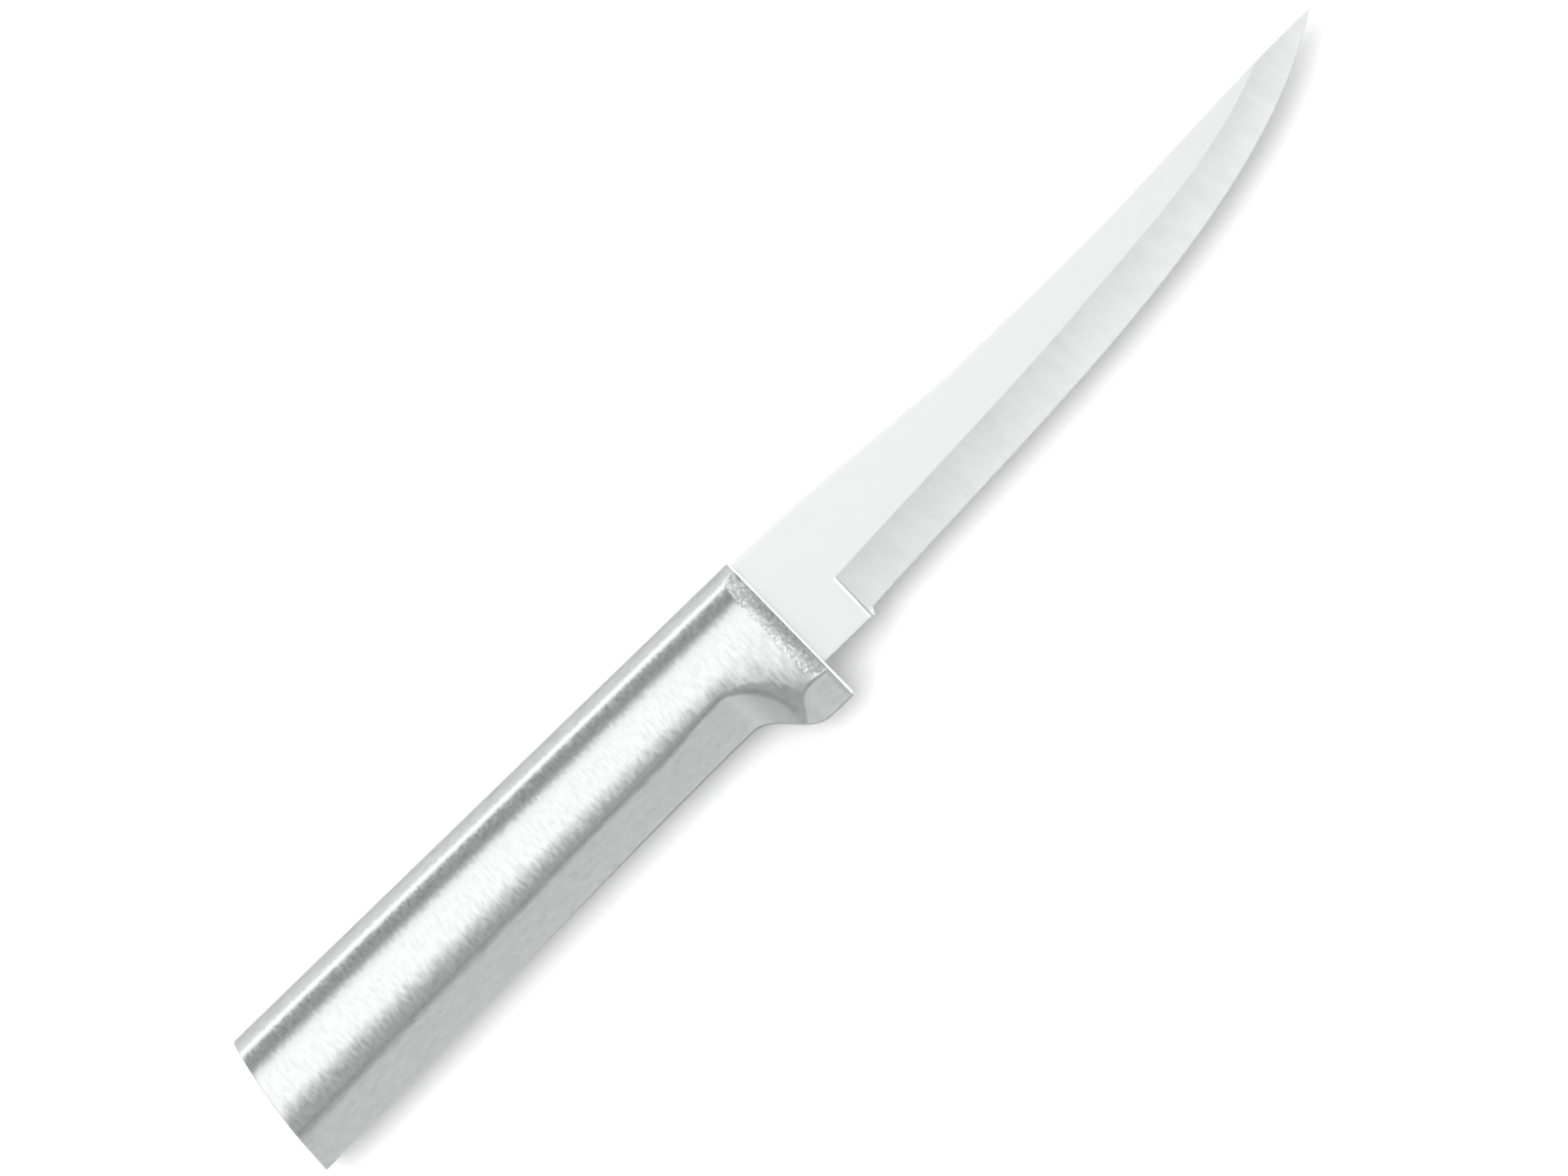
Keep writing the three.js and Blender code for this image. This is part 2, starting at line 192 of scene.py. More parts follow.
# Finish of the handle. Tones are shares of a material's colour.
STROKE_WIDTH = COARSER * 0.042 * MM  # brush strokes across the handle
STROKE_LENGTH = 1.25 * MM
STROKE_TURN = math.radians(88)
STROKE_TONES = {"To Min": 0.8, "To Max": 1.02}
STROKE_ROUGHNESS = {"To Min": 0.26, "To Max": 0.36}
STROKE_HEIGHT = 0.006 * MM
RUN_WIDTH = COARSER * 0.085 * MM  # wider strokes along the crown and the flanks
RUN_LENGTH = 1.6 * MM
RUN_TONES = {"To Min": 0.8, "To Max": 0.93}
GRAIN_SIZE = COARSER * 0.045 * MM  # grain of the unbrushed skin
GRAIN_TONES = {"To Min": 0.71, "To Max": 1.15}
GRAIN_HEIGHT = 0.15 * MM
SKIN_ROUGHNESS = 0.42
MOULD_ROUGHNESS = {"To Min": 0.08, "To Max": 0.16}
PAINTED_SHADE_TONE = 0.5  # what is left of the colour's brightness where the painted shade is darkest
GRAZING_TINT = 0.65, 0.65, 0.65, 1.0  # dims what the brushed metal reflects at a low angle
STROKE_TILT = 0.075  # how far a brush stroke may lean from the surface, as a slope
STROKE_LEANS = 1.6 * MM, 3 * MM  # handle's top to where strokes begin to lean and lean fully

# Settings that several nodes share
NOISE_MIDDLE = {"From Min": 0.3, "From Max": 0.7}  # where most of a noise's values lie
COLOUR_TIMES = {"data_type": "RGBA", "blend_type": "MULTIPLY"}  # a mix that multiplies two colours

# Grid counts
CURVE_SAMPLES = 2001
HOLLOW_SAMPLES = 161
STUB_ROWS = 40  # sections of the blade: up to the lip, over the heel's corner and along the edge
HEEL_ROWS = 60
EDGE_ROWS = 420
BELLY_ROWS = 80  # sections of the handle: up to the neck, over the guard, the rounding and the land
GUARD_ROWS = 130
FRONT_ROWS = 34
RIM_ROWS = 6
ROUND_ROWS = 6  # rings round an end's edge
END_SHARES = 0.8, 0.6, 0.4, 0.2  # rings that close an end face, as shares of its outline
CROWN_POINTS = 48
FLANK_POINTS = 96
FLAT_POINTS = 24
BEVEL_POINTS = 28
CORNER_POINTS = 4
SHEAR_PASSES = 4
LEAST_LENGTH = 1e-12  # stands in for a length of zero where something is divided by it

# Stage, in metres. A lamp's sides are along x and y before it is tilted about x.
FLOOR_SIDE = 4.0
SENSOR_WIDTH = 36.0  # millimetres
VIEW_MIDDLE = 2.5 * MM, -6.47 * MM  # the picture's middle, from the planes of the shapes
CARD_SIDES = 0.4, 0.187  # low card beside the spine
CARD_PLACE = -0.04, 0.148, 0.0225
CARD_TILT = math.pi + 0.18  # it faces up, and leans towards the knife
FILL_SIDES = 0.9, 0.07  # low card on the edge's side
FILL_PLACE = -0.05, -0.35, 0.035
FILL_TILT = math.pi / 2  # it stands upright
KEY_SIDES = 0.5, 0.5  # lamp that casts the shadow
KEY_PLACE = -0.29, 0.28, 1.2
SOFTBOX_HEIGHT = 0.55
SOFTBOX_ENDS = -0.75, 0.2, 0.6  # along x: the last stretch, past the point, is dimmer
SOFTBOX_DIM = 0.45
SOFTBOX_EDGES = 48, 42, 0, -7, -14, -21, -28, -35, -68  # degrees from straight above to the spine's side
SOFTBOX_LEVELS = 0.5, 1, 0.85, 0.66, 0.45, 0.26, 0.14, 0.125  # of the strips between those edges


def size(name, description, millimetres):
    """A length that the user may set, kept in metres."""
    return bpy.props.FloatProperty(
        name=name, description=description, default=millimetres * MM, subtype="DISTANCE", precision=5
    )


def angle(name, description, degrees):
    """An angle that the user may set, kept in radians."""
    return bpy.props.FloatProperty(
        name=name, description=description, default=math.radians(degrees), subtype="ANGLE"
    )


def number(name, description, default):
    """A plain number that the user may set."""
    return bpy.props.FloatProperty(name=name, description=description, default=default)


def linear(hex_colour):
    """Linear red, green, blue and alpha of an sRGB hex colour, by the standard's own curve."""
    srgb = np.array([int(hex_colour[i : i + 2], 16) for i in (1, 3, 5)]) / 255
    low = srgb / 12.92
    high = ((srgb + 0.055) / 1.055) ** 2.4
    return [*np.where(srgb <= 0.04045, low, high).tolist(), 1.0]


def colour(name, description, hex_colour):
    """A colour that the user may set, given as sRGB hex."""
    return bpy.props.FloatVectorProperty(
        name=name,
        description=description,
        default=linear(hex_colour),
        subtype="COLOR",
        size=4,
        min=0,
        max=1,
    )


class BladeSettings(bpy.types.PropertyGroup):
    """Sizes and colours of the blade."""

    length: size("Length", "Front face to the point", (BLADE_HIGH.x - HANDLE_HIGH.x) / MM)
    thickness: size("Thickness", "Thickness of the unground steel", (BLADE_HIGH.z - BLADE_LOW.z) / MM)
    spine_inset: size("Spine inset", "Handle's top to the spine", 0.58)
    spine_dip: size("Spine dip", "How far the spine dips between heel and point", 1.62)
    heel_height: size("Heel height", "Spine to the heel's underside", 15.1)
    heel_length: size("Heel length", "Front face to where the grind begins", 7.44)
    grind_width: size("Grind width", "Cutting edge to the grind line", 5.43)
    grind_point_width: size("Grind width at the point", "The same near the point", 4.5)
    edge_thickness: size("Edge thickness", "Width of the cutting edge", 0.06)
    point_thickness: size("Thickness at the point", "The steel thins a little towards the point", 0.62)
    point_edge: size("Edge thickness at the point", "Width of the cutting edge near the point", 0.2)
    wheel_radius: size("Wheel radius", "Radius of the wheel that ground the hollow", 75)
    flat_colour: colour("Flat colour", "Satin steel of the flat sides", "#C2C4C3")
    grind_colour: colour("Grind colour", "Ground steel of the hollow", "#CBCDCC")


class HandleSettings(bpy.types.PropertyGroup):
    """Sizes and colours of the handle."""

    length: size("Length", "Length along the top", 78)
    butt_height: size("Butt height", "Height of the butt", 17.8)
    butt_slant: size("Butt slant", "How much further back the underside runs", 2.56)
    butt_thickness: size("Butt thickness", "Thickness at the butt", 13.38)
    front_thickness: size("Front thickness", "Thickness at the front, before rounding", 12.4)
    front_round: size("Front rounding", "Length over which the sides round off at the front", 2.25)
    front_drop: size("Front drop", "Depth of that rounding", 2.2)
    neck_height: size("Neck height", "Height at the slimmest place", 15.8)
    guard_height: size("Guard height", "Top to the guard's foot", 20.65)
    flank_angle: angle("Flank angle", "Lean of the flat lower flanks", 46)
    hollow_angle: angle("Hollow angle", "Lean of the flanks in the finger hollow", 41.5)
    guard_angle: angle("Guard angle", "Lean of the facet on the guard", 47)
    brushed_colour: colour("Brushed colour", "Brushed aluminium", "#CBCDCC")
    skin_colour: colour("Skin colour", "Unbrushed cast aluminium", "#E2E4E3")


class StageSettings(bpy.types.PropertyGroup):
    """Floor, light and camera."""

    floor_colour: colour("Floor colour", "Pale floor", "#F4F4F4")
    room_colour: colour("Room colour", "Grey room around the softbox", "#B9B9B9")
    floor_lift: number("Floor lift", "White that the floor adds where it is seen", 0.025)
    softbox_level: number("Softbox level", "Radiance that the softbox adds to the room", 1.45)
    card_level: number("Card level", "Radiance of the low card on the spine side", 1.5)
    fill_level: number("Fill level", "Radiance of the low card on the edge's side", 0.15)
    key_level: number("Key level", "Radiance of the lamp that casts the shadow", 7.0)
    view_distance: size("View distance", "Camera to the blade's middle plane", 850)
    view_width: size("View width", "Width of the picture at that plane", 177.58)
    view_turn: angle("View turn", "How far the knife climbs to the right in the picture", 44.1)


def lerp(first, last, share):
    """The value at a share of the way from first to last."""
    return first + (last - first) * share


def smoothstep(x, low, high):
    """Eased rise from 0 at low to 1 at high: 3t^2 - 2t^3."""
    t = np.clip((x - low) / (high - low), 0, 1)
    return t * t * (3 - 2 * t)


def bezier_height(corners, x):
    """Height at x of the cubic Bezier curve with four corners, which keeps its end heights outside."""
    t = np.linspace(0, 1, CURVE_SAMPLES)[:, None]
    a, b, c, d = np.array(corners)
    points = a * (1 - t) ** 3 + 3 * b * (1 - t) ** 2 * t + 3 * c * (1 - t) * t**2 + d * t**3
    return np.interp(x, points[:, 0], points[:, 1])


def blended_least(a, b, blend):
    """The smaller of two widths, eased where they are closer than blend, and never below zero."""
    near = np.maximum(blend - np.abs(a - b), 0)
    return np.maximum(np.minimum(a, b) - near**2 / (4 * blend), 0)


def ring_mesh(name, points, crease_columns=(), crease_rows=()):
    """A closed mesh through a grid of points: rows follow each other along the piece, and each row is a
    closed ring. A middle point closes each end. The map called grain runs along the rows' direction (u)
    and round the rings (v), in metres. Edges along crease_columns and crease_rows are sharp."""
    rows, columns, _ = points.shape
    ends = points[[0, -1]].mean(axis=1)
    vertices = np.concatenate([points.reshape(-1, 3), ends]) + ORIGIN
    row, column = np.meshgrid(np.arange(rows - 1), np.arange(columns), indexing="ij")
    following = (column + 1) % columns
    quads = np.stack(
        [
            row * columns + column,
            row * columns + following,
            (row + 1) * columns + following,
            (row + 1) * columns + column,
        ],
        axis=-1,
    ).reshape(-1, 4)
    around = np.arange(columns)
    first_pole, last_pole = rows * columns, rows * columns + 1
    last = (rows - 1) * columns
    fan_first = np.stack([np.full(columns, first_pole), np.roll(around, -1), around], axis=-1)
    fan_last = np.stack([np.full(columns, last_pole), last + around, last + np.roll(around, -1)], axis=-1)
    mesh = bpy.data.meshes.new(name)
    mesh.from_pydata(vertices, [], [*quads.tolist(), *fan_first.tolist(), *fan_last.tolist()])

    closed = np.concatenate([points, points[:, :1]], axis=1)
    steps = np.linalg.norm(np.diff(closed, axis=1), axis=-1)
    v = np.concatenate([np.zeros((rows, 1)), np.cumsum(steps, axis=1)], axis=1)
    u = closed[..., 0]
    grain = np.stack([u, v], axis=-1)
    quad_uv = np.stack([grain[:-1, :-1], grain[:-1, 1:], grain[1:, 1:], grain[1:, :-1]], axis=2)
    pole_uv = [np.full((columns, 2), end) for end in (grain[0].mean(axis=0), grain[-1].mean(axis=0))]
    fan_uv = [
        np.stack([pole_uv[0], grain[0, 1:], grain[0, :-1]], axis=1),
        np.stack([pole_uv[1], grain[-1, :-1], grain[-1, 1:]], axis=1),
    ]
    flat_uv = np.concatenate([quad_uv.reshape(-1, 2), *[uv.reshape(-1, 2) for uv in fan_uv]])
    mesh.uv_layers.new(name="grain").data.foreach_set("uv", flat_uv.ravel().astype(np.float32))

    mesh.polygons.foreach_set("use_smooth", np.ones(len(mesh.polygons), dtype=bool))
    ends_of_edges = np.empty(len(mesh.edges) * 2, dtype=np.int32)
    mesh.edges.foreach_get("vertices", ends_of_edges)
    edge_rows, edge_columns = np.divmod(ends_of_edges.reshape(-1, 2), columns)
    creased = (edge_columns[:, 0] == edge_columns[:, 1]) & np.isin(edge_columns[:, 0], crease_columns)
    creased |= (edge_rows[:, 0] == edge_rows[:, 1]) & np.isin(edge_rows[:, 0], crease_rows)
    mesh.attributes.new("sharp_edge", "BOOLEAN", "EDGE").data.foreach_set("value", creased)
    mesh.update()
    return mesh


def add_piece(name, mesh, node_name):
    """Puts a finished mesh in the scene for the CAD node that it stands for."""
    piece = bpy.data.objects.new(name, mesh)
    bpy.context.scene.collection.objects.link(piece)
    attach(piece, BODY)
    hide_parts(node_name)
    return piece


def blade_outline(s, x):
    """Heights at x of the spine, the underside and the cutting edge, the grind's width, and the height of
    the grind line. The spine dips by an eased rise and fall. The cutting edge is a cubic Bezier curve from
    the heel to the point, with a small spur where it starts, and the grind line runs a grind's width above
    it until it meets the spine."""
    rise = smoothstep(x, s.length - SWAY_LEAVE, s.length - SWAY_END)
    dip = smoothstep(x, SWAY_START, SWAY_FULL) * lerp(1, SWAY_LEFT, rise)
    spine = -s.spine_inset - s.spine_dip * dip
    heel = -s.spine_inset - s.heel_height
    start = np.array([s.heel_length + SPUR_END, heel + EDGE_STEP])
    point = np.array([s.length, -s.spine_inset - s.spine_dip * SWAY_LEFT])
    edge = bezier_height(
        [start, start + (EDGE_REACH, EDGE_RISE), point - (POINT_REACH, POINT_DROP), point], x
    )
    spur_x = s.heel_length + np.array([-SPUR_BACK, SPUR_PEAK, SPUR_END])
    spur_y = np.array([heel, heel - HEEL_SPUR, start[1]])
    underside = np.where(x < start[0], np.interp(x, spur_x, spur_y), edge)
    narrowing = smoothstep(x, s.length - GRIND_NARROWS, s.length - GRIND_NARROW)
    width = lerp(s.grind_width, s.grind_point_width, narrowing)
    grind_line = np.minimum(edge + width, spine)
    return spine, underside, edge, width, grind_line


def blade_half(s, x, y):
    """Half of the blade's thickness. The ground part runs from the edge's half to the full half over the
    grind's width, bowed in by up * (width - up) / (2 * wheel radius). It starts in a lip, along which the
    depth grows as t^2, and a fillet, along which it grows as 1 - (1 - t)^2."""
    _, _, edge, width, _ = blade_outline(s, x)
    thinned = smoothstep(x, TAPER_START, s.length)
    half = lerp(s.thickness, s.point_thickness, thinned) / 2
    edge_half = lerp(s.edge_thickness, s.point_edge, thinned) / 2
    up = np.clip(y - edge, 0, width)
    ground = edge_half + (half - edge_half) * up / width - up * (width - up) / (2 * s.wheel_radius)
    lip_start = s.heel_length - PLUNGE_LEAD
    rolled = np.clip((x - lip_start) / LIP_WIDTH, 0, 1) ** 2
    left = 1 - np.clip((x - lip_start - LIP_WIDTH) / FILLET_WIDTH, 0, 1)
    return lerp(half, ground, LIP_SHARE * rolled + (1 - LIP_SHARE) * (1 - left**2))


def blade_points(s):
    """Grid of the blade: stations along x, closer at the fillet, and a ring round each section that goes
    from the spine's corner down the flat to the grind line, down the hollow to the edge, and back up the
    other side, which is the mirror image. Also gives the ring's creased columns, the first of the hollow's
    columns, and where the lip starts along x."""
    lip = s.heel_length - PLUNGE_LEAD
    edge_start = s.heel_length + SPUR_END
    x = np.concatenate(
        [
            np.linspace(-STUB, lip, STUB_ROWS, endpoint=False),
            np.linspace(lip, edge_start, HEEL_ROWS, endpoint=False),
            np.linspace(edge_start, s.length - POINT_SHORT, EDGE_ROWS),
        ]
    )[:, None]
    spine, underside, _, _, grind_line = blade_outline(s, x)
    most = (spine - underside) / LEAST_PARTS
    top_round = np.minimum(CORNER_ROUND, most)
    low_round = np.minimum(EDGE_ROUND, most)
    turn = np.linspace(0, math.pi / 2, CORNER_POINTS, endpoint=False)[None, :]
    flat_share = np.linspace(0, 1, FLAT_POINTS)[None, :]
    bevel_share = np.linspace(0, 1, BEVEL_POINTS)[None, 1:]
    flat_top = spine - top_round
    flat_low = np.minimum(grind_line, flat_top - np.minimum(FLAT_LEAST, most))
    bevel_low = underside + low_round
    corner_y = flat_top + top_round * np.cos(turn)
    corner_z = np.maximum(blade_half(s, x, flat_top) - top_round * (1 - np.sin(turn)), 0)
    flat_y = lerp(flat_top, flat_low, flat_share)
    bevel_y = lerp(flat_low, bevel_low, bevel_share)
    edge_y = bevel_low - low_round * np.sin(turn)[:, 1:]
    edge_z = blade_half(s, x, bevel_low) - low_round * (1 - np.cos(turn)[:, 1:])
    y = np.concatenate([corner_y, flat_y, bevel_y, edge_y], axis=1)
    z = np.concatenate([corner_z, blade_half(s, x, flat_y), blade_half(s, x, bevel_y), edge_z], axis=1)
    side = np.stack([np.broadcast_to(x, y.shape), y, z], axis=-1)
    other = side[:, ::-1] * (1, 1, -1)
    grind_column = CORNER_POINTS + FLAT_POINTS - 1
    columns = 2 * y.shape[1]
    creases = [grind_column, columns - 1 - grind_column, 0, columns - 1]
    return np.concatenate([side, other], axis=1), creases, grind_column, lip


def handle_underside(s, x):
    """Height of the handle's underside: a slow cubic Bezier curve from the butt to the neck, then a short
    one through the finger hollow to the guard's foot."""
    butt = np.array([-s.length - s.butt_slant, -s.butt_height])
    neck = np.array([-NECK_REACH, -s.neck_height])
    foot = np.array([-GUARD_FOOT, -s.guard_height])
    belly = bezier_height([butt, butt + (BELLY_REACH, BELLY_RISE), neck - (NECK_EASE, 0), neck], x)
    hollow = bezier_height([neck, neck + (GUARD_HOLLOW, 0), foot - (GUARD_TURN, 0), foot], x)
    return np.where(x < neck[0], belly, hollow)


def skin_inside(s, x, y):
    """How far a point lies inside the unbrushed band beside the blade: below 0 outside it and 1 at the
    rim. The band's edge runs straight across the handle, and turns to the front face at its top in a
    quarter ellipse."""
    left = np.maximum((-RIM_WIDTH - x) / s.front_round, 0)
    above = np.maximum((y + SKIN_TOP + SKIN_CORNER) / SKIN_CORNER, 0)
    return 1 - np.hypot(left, above)


def above_guard(y):
    """1 above the unbrushed band's lower end, and 0 below it."""
    return smoothstep(y, -SKIN_BOTTOM - SKIN_FADE, -SKIN_BOTTOM + SKIN_FADE)


def skin_share(s, x, y):
    """1 on the unbrushed band and 0 elsewhere."""
    return smoothstep(skin_inside(s, x, y), 0, SKIN_EDGE) * above_guard(y) * (x < -RIM_WIDTH)


def side_half(s, x, y, out):
    """Half-width of the section's side, where out is its share of the full width. It is narrowed towards
    the front face, by a power of the way there, between the crown and the guard. Below the shoulder it
    bows in as a parabola. The shoulder sinks with the underside."""
    taper = lerp(s.front_thickness, s.butt_thickness, x / (-s.length - s.butt_slant)) / 2
    way = np.clip(1 + np.minimum(x + RIM_WIDTH, 0) / s.front_round, 0, 1)
    deepens = lerp(way**ROUND_POWER, way, ROUND_LEAD)
    rounding = s.front_drop * deepens * smoothstep(-y, SKIN_TOP, ROUND_FULL) * above_guard(y)
    in_hollow = smoothstep(-x, *HOLLOW_START)
    grip = SHOULDER_FOLLOWS * (handle_underside(s, np.minimum(x, -NECK_REACH)) + s.neck_height)
    guard = GUARD_SINK * smoothstep(-x, *GUARD_SINKS)
    below = np.maximum(grip - guard - SHOULDER - y, 0)
    return (taper - rounding) * out - below**2 / (2 * lerp(SIDE_RADIUS, HOLLOW_RADIUS, in_hollow))


def at_neck(x):
    """1 at the neck, and 0 away from it."""
    return 1 - smoothstep(np.abs(x + NECK_REACH), 0, PINCH_REACH)


def flank_half(s, x, y):
    """Half-width of the flank, which leans in evenly to the underside's line. It cuts in more at the neck
    and the butt, and is blunter in the finger hollow. A flat facet is ground off it at the guard."""
    in_hollow = smoothstep(-x, *HOLLOW_START)
    pinch = NECK_PINCH * at_neck(x) + BUTT_PINCH * smoothstep(-x, *BUTT_PINCHES)
    edge = lerp(FLANK_EDGE - pinch, HOLLOW_EDGE, smoothstep(-x, *EDGE_GROWS))
    lean = np.tan(lerp(s.flank_angle, s.hollow_angle, in_hollow))
    facet = FOOT_EDGE + math.tan(s.guard_angle) * (y + s.guard_height)
    return np.minimum(edge + lean * underside_distance(s, x, y), facet)


def underside_distance(s, x, y):
    """How far a point lies from the underside's line: the height above it, or the distance to the nearest
    of many points along the finger hollow where that is less."""
    hollow_x = np.linspace(-NECK_REACH - NECK_LEVEL, -GUARD_FOOT, HOLLOW_SAMPLES)
    hollow_y = handle_underside(s, hollow_x)
    away = np.hypot(x[..., None] - hollow_x, y[..., None] - hollow_y).min(axis=-1)
    return np.minimum(y - handle_underside(s, x), away)


def handle_half(s, x, y, out):
    """Half-width of the section at a height, and the share of it that is finished lengthwise: the lesser
    of side and flank, with a soft turn between them that is softest in the finger hollow. The unbrushed
    band lies a small step deeper, and a narrow land stands before the front."""
    side = side_half(s, x, y, out)
    flank = flank_half(s, x, y)
    blend = lerp(FLANK_BLEND, NECK_BLEND, at_neck(x)) + HOLLOW_BLEND * smoothstep(-x, *HOLLOW_START)
    blend = lerp(blend, GUARD_BLEND, smoothstep(-x, *GUARD_START))
    half = blended_least(side, flank, blend) - SKIN_STEP * skin_share(s, x, y)
    half = np.where(x > -RIM_WIDTH, np.minimum(half, RIM_HALF), half)
    on_flank = smoothstep(side - flank, -FLANK_BLEND, FLANK_BLEND)
    on_crown = smoothstep(y, -CROWN_LINE - CROWN_FADE, -CROWN_LINE + CROWN_FADE)
    return np.maximum(half, 0), np.maximum(on_flank, on_crown)


def inset_rings(ring, depths, offsets):
    """Rings that follow a ring inwards by depths, square to it in its own plane, and are moved along x by
    offsets."""
    along = np.roll(ring, -1, axis=0) - np.roll(ring, 1, axis=0)
    inward = np.stack([np.zeros(len(ring)), along[:, 2], -along[:, 1]], axis=-1)
    inward /= np.maximum(np.linalg.norm(inward, axis=1, keepdims=True), LEAST_LENGTH)
    middle = ring.mean(axis=0)
    inward *= np.sign(((middle - ring) * inward).sum(axis=1, keepdims=True))
    shift = np.stack([offsets, 0 * offsets, 0 * offsets], axis=-1)
    return ring + depths[:, None, None] * inward + shift[:, None, :]


def shrunk_rings(ring, shares):
    """Rings that shrink a flat ring towards its middle, down to the last share."""
    middle = ring.mean(axis=0)
    return middle + (ring - middle) * shares[:, None, None]


def handle_stations(s):
    """Places of the sections along x: even steps up to the neck and over the guard, steps that shorten as
    a sine over the front's rounding, and the land."""
    neck = -NECK_REACH - NECK_LEVEL
    turn = np.linspace(0, math.pi / 2, FRONT_ROWS)
    return np.concatenate(
        [
            np.linspace(-s.length + BUTT_ROUND + BUTT_CLEAR, neck, BELLY_ROWS, endpoint=False),
            np.linspace(neck, -RIM_WIDTH - s.front_round, GUARD_ROWS, endpoint=False),
            -RIM_WIDTH - s.front_round * (1 - np.sin(turn)),
            np.linspace(-RIM_WIDTH + RIM_STEP, -RIM_ROUND, RIM_ROWS),
        ]
    )[:, None]


def handle_side(s, station):
    """Points down one side of each section, the share of each that is finished lengthwise, and the steep
    face's height. A side is a superellipse down to the widest place, then level steps down the flank, then
    the steep face to the parting line. Near the butt the sections lean with its slanted face. Leaning
    moves a point along x, where the underside has another height, so it takes a few passes."""
    turn = (math.pi / 2) * (np.arange(CROWN_POINTS) + 0.5)[None, :] / CROWN_POINTS
    widest = lerp(WIDEST, BUTT_WIDEST, -station / s.length)
    crown_y = widest * (np.cos(turn) ** (2 / SIDE_FULLNESS) - 1)
    crown_out = np.sin(turn) ** (2 / SIDE_FULLNESS)
    down = np.linspace(0, 1, FLANK_POINTS)[None, :]
    draft = lerp(BUTT_DRAFT, PARTING_DRAFT, smoothstep(-station, *DRAFT_GROWS))
    left = np.linspace(1, PARTING_FLAT, CORNER_POINTS)[None, 1:]
    lean = (s.butt_slant / s.butt_height) * smoothstep(-station, SHEAR_ENDS, s.length - BUTT_ROUND)
    columns = CROWN_POINTS + FLANK_POINTS + CORNER_POINTS - 1
    x = np.repeat(station, columns, axis=1)
    for _ in range(SHEAR_PASSES):
        flank_x = x[:, CROWN_POINTS : -CORNER_POINTS + 1]
        corner_x = x[:, -CORNER_POINTS + 1 :]
        flank_y = lerp(-widest, handle_underside(s, flank_x) + draft, down)
        corner_y = handle_underside(s, corner_x) + draft * left
        y = np.concatenate([crown_y, flank_y, corner_y], axis=1)
        x = station + lean * y
    out = np.concatenate([crown_out, np.ones((1, columns - CROWN_POINTS))], axis=1)
    z, lengthwise = handle_half(s, x, y, out)
    z[:, -CORNER_POINTS + 1 :] = z[:, -CORNER_POINTS, None] * left
    return np.stack([x, y, z], axis=-1), lengthwise, draft


def handle_points(s):
    """Grid of the handle: a ring round each section goes down one side and up the other, which is its
    mirror image. The butt's edge and the land's edge are rounded by rings that move inwards as 1 - cos and
    outwards as sin, and both end faces are closed by shrinking rings. Also gives, by name, the shares of
    each finish and of the painted shade, which darkens the colour in the finger hollow and along the
    parting line, and the rows on both sides of the step to the land."""
    station = handle_stations(s)
    side, lengthwise, draft = handle_side(s, station)
    body = np.concatenate([side, side[:, ::-1] * (1, 1, -1)], axis=1)
    x, y = body[..., 0], body[..., 1]
    lengthwise = np.concatenate([lengthwise, lengthwise[:, ::-1]], axis=1)
    # Painted shade: the colour darkens on the lower flank in the finger hollow.
    hollow = 1 - smoothstep(np.abs(x + PAINTED_SHADE_PLACE), 0, PAINTED_SHADE_REACH)
    painted_shade = HOLLOW_PAINTED_SHADE * hollow * lengthwise * (y < -WIDEST)
    lowest = side.shape[1]
    # Painted shade: a thin dark line along the steep face at the parting line, darkest where that face is
    # tallest.
    painted_shade[:, lowest - CORNER_POINTS + 1 : lowest + CORNER_POINTS - 1] = draft / PARTING_DRAFT
    shares = {
        "cast_skin": skin_share(s, x, y),
        "lengthwise": lengthwise,
        "steady": np.maximum(lengthwise, 1 - smoothstep(-y, *STROKE_LEANS)),
        "painted_shade": painted_shade,
    }
    bend = np.linspace(0, math.pi / 2, ROUND_ROWS + 1)[1:]
    butt = inset_rings(body[0], BUTT_ROUND * (1 - np.cos(bend)), -BUTT_ROUND * np.sin(bend))
    front = inset_rings(body[-1], RIM_ROUND * (1 - np.cos(bend)), RIM_ROUND * np.sin(bend))
    ends = np.array(END_SHARES)
    points = np.concatenate(
        [shrunk_rings(butt[-1], ends)[::-1], butt[::-1], body, front, shrunk_rings(front[-1], ends)]
    )
    added = len(END_SHARES) + ROUND_ROWS
    shares = {name: np.pad(share, ((added, added), (0, 0))) for name, share in shares.items()}
    land = added + np.flatnonzero(station.ravel() > -RIM_WIDTH)[0]
    return points, shares, [land - 1, land]


def node(tree, kind, inputs=(), **settings):
    """Adds a node of a kind. Settings are its own properties, and each of inputs is a socket's name or
    place with a value, or with another node's output to link."""
    made = tree.nodes.new(kind)
    for name, value in settings.items():
        setattr(made, name, value)
    for name, value in dict(inputs).items():
        if isinstance(value, bpy.types.NodeSocket):
            tree.links.new(value, made.inputs[name])
        else:
            made.inputs[name].default_value = value
    return made


def new_material(name):
    """An empty node material and its tree."""
    material = bpy.data.materials.new(name)
    material.use_nodes = True
    material.node_tree.nodes.clear()
    return material, material.node_tree


def streaks(tree, spacing, length, turn, detail):
    """Noise drawn out into streaks: spacing apart, of a length, and turned about z from lying along x."""
    place = node(tree, "ShaderNodeTexCoord").outputs["Object"]
    turned = node(tree, "ShaderNodeMapping", {"Vector": place, "Rotation": (0, 0, -turn)})
    scale = (1 / length, 1 / spacing, 1 / spacing)
    drawn = node(tree, "ShaderNodeMapping", {"Vector": turned.outputs[0], "Scale": scale})
    noise = {"Vector": drawn.outputs[0], "Scale": 1, "Detail": detail}
    return node(tree, "ShaderNodeTexNoise", noise).outputs[0]


